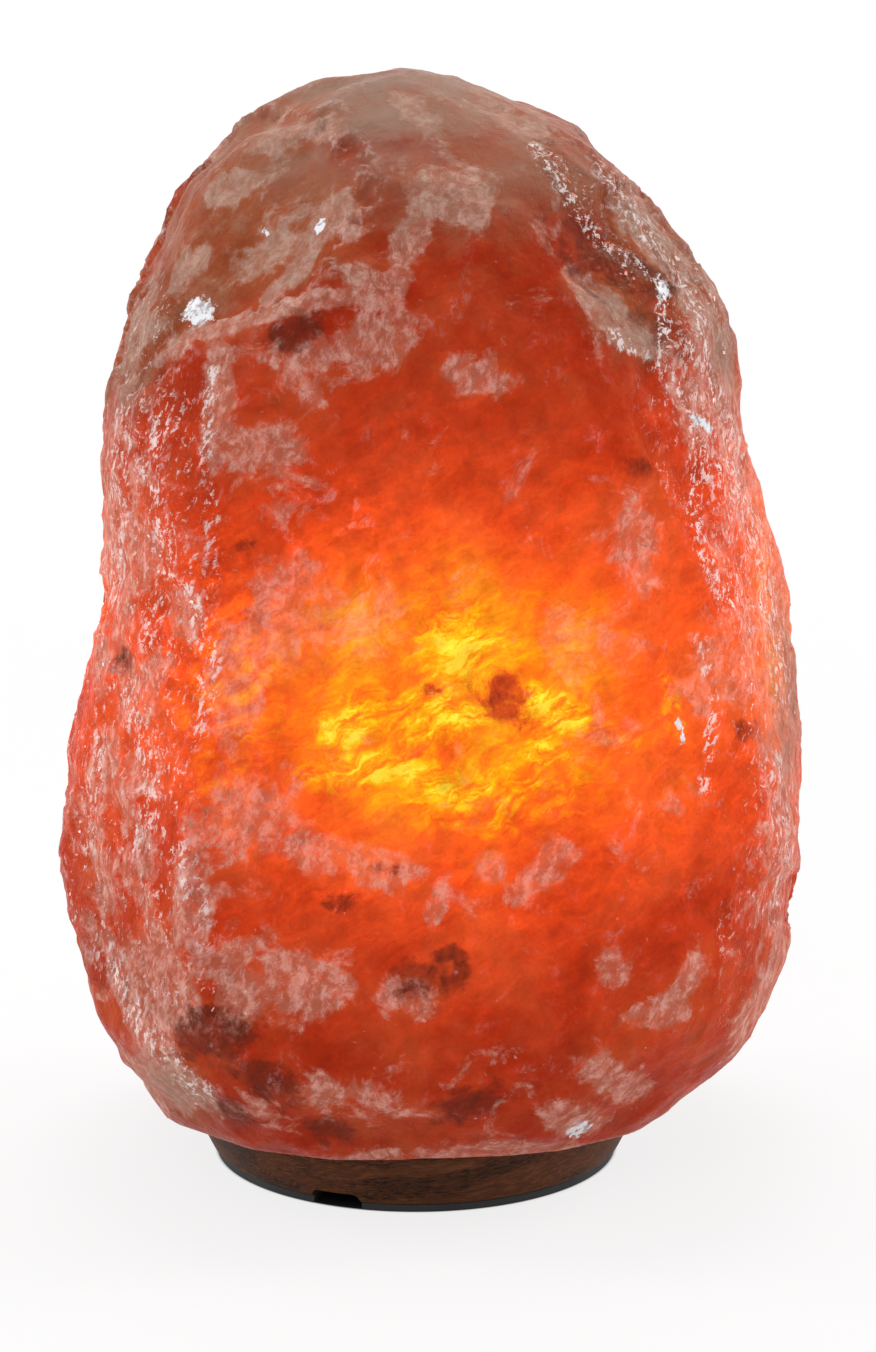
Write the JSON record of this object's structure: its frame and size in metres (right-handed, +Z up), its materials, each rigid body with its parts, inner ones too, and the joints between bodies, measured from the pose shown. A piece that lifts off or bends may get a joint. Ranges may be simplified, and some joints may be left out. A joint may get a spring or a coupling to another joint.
{
  "type": "salt crystal lamp",
  "caption": "Free-standing table lamp: a rough rock salt crystal, lit from inside by a candle bulb, screwed to a small round wooden base.",
  "frame": {"origin": "on the table, at the centre of the pad's underside, on the axis of the turned base", "axes": "+Z up along the axis of the base and of the bulb; front, where the broad face of the crystal is, towards -Y"},
  "size_m": [0.2027, 0.1713, 0.302],
  "materials": {
    "rock_salt": "satin",
    "stained_wood": "satin",
    "black_rubber": "matte",
    "zinc_steel": "satin",
    "spring_steel": "gloss",
    "plug_plastic": "matte",
    "black_plastic": "satin",
    "porcelain": "gloss",
    "brass": "satin",
    "cap_metal": "satin",
    "cap_glass": "gloss",
    "bulb_glass": "polished",
    "stem_glass": "polished",
    "wire": "satin",
    "hot_filament": "satin"
  },
  "bodies": {
    "stone_and_base": {"salt_crystal": "rock_salt", "wood_base": "stained_wood", "base_pad": "black_rubber", "base_screws": "zinc_steel", "wall_plugs": "plug_plastic"},
    "lampholder": {"clip_plate": "zinc_steel", "clip_strip": "spring_steel", "clip_rivets": "spring_steel", "cord_nipple": "zinc_steel", "nipple_nut": "zinc_steel", "lock_washer": "zinc_steel", "holder_cap": "black_plastic", "holder_shell": "black_plastic", "porcelain_insert": "porcelain", "contact_shell": "brass", "terminals": "brass", "terminal_screws": "brass"},
    "left_wing": {"wing_left": "spring_steel"},
    "right_wing": {"wing_right": "spring_steel"},
    "centre_contact": {"contact_tongue": "brass"},
    "bulb": {"bulb_glass": "bulb_glass", "bulb_cap": "cap_metal", "bulb_insulator": "cap_glass", "bulb_button": "cap_metal", "bulb_stem": "stem_glass", "lead_wires": "wire", "filament": "hot_filament", "filament_support": "wire"}
  },
  "joints": [
    {"name": "lampholder_pull", "type": "slide", "parent": "stone_and_base", "child": "lampholder", "axis": [0, 0, -1], "range_m": [0, 0.145]},
    {"name": "bulb_turn", "type": "hinge", "parent": "lampholder", "child": "bulb", "pos_m": [0, 0, 0.0437], "axis": [0, 0, 1], "range_deg": [0, 900]},
    {"name": "left_wing_flex", "type": "hinge", "parent": "lampholder", "child": "left_wing", "pos_m": [-0.02189, 0, 0.0116], "axis": [0, 1, 0], "range_deg": [0, 8], "stiffness_Nm_per_rad": 0.3},
    {"name": "right_wing_flex", "type": "hinge", "parent": "lampholder", "child": "right_wing", "pos_m": [0.02189, 0, 0.0116], "axis": [0, -1, 0], "range_deg": [0, 8], "stiffness_Nm_per_rad": 0.3},
    {"name": "centre_contact_flex", "type": "hinge", "parent": "lampholder", "child": "centre_contact", "pos_m": [-0.0036, 0, 0.04155], "axis": [0, 1, 0], "range_deg": [0, 8], "stiffness_Nm_per_rad": 0.05}
  ]
}
